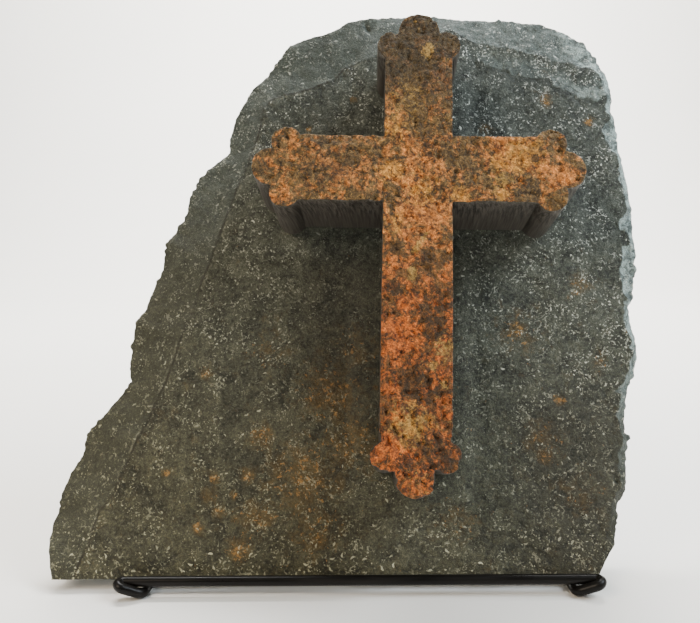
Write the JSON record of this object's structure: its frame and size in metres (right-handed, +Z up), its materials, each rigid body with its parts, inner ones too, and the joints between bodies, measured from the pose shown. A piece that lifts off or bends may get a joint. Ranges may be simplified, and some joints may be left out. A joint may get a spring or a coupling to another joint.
{
  "type": "slate memorial cross plaque on stand",
  "caption": "Budded cross of rusty split slate on an irregular slate slab with broken edges, leaning in a black bent-rod display stand.",
  "frame": {"origin": "on the table, under the middle of the whole object's box", "axes": "+Z up, the front faces -Y, +X to the right seen from the front"},
  "size_m": [0.3458, 0.1672, 0.3331],
  "materials": {
    "grey_slate": "split and broken, matt, with pale flecks and rust stains",
    "rusty_slate": "split rusty face, smooth cut grey sides",
    "black_steel": "satin black paint"
  },
  "bodies": {
    "root": {"backing_slab": "grey_slate", "cross": "rusty_slate", "rod_stand": "black_steel"}
  },
  "joints": []
}
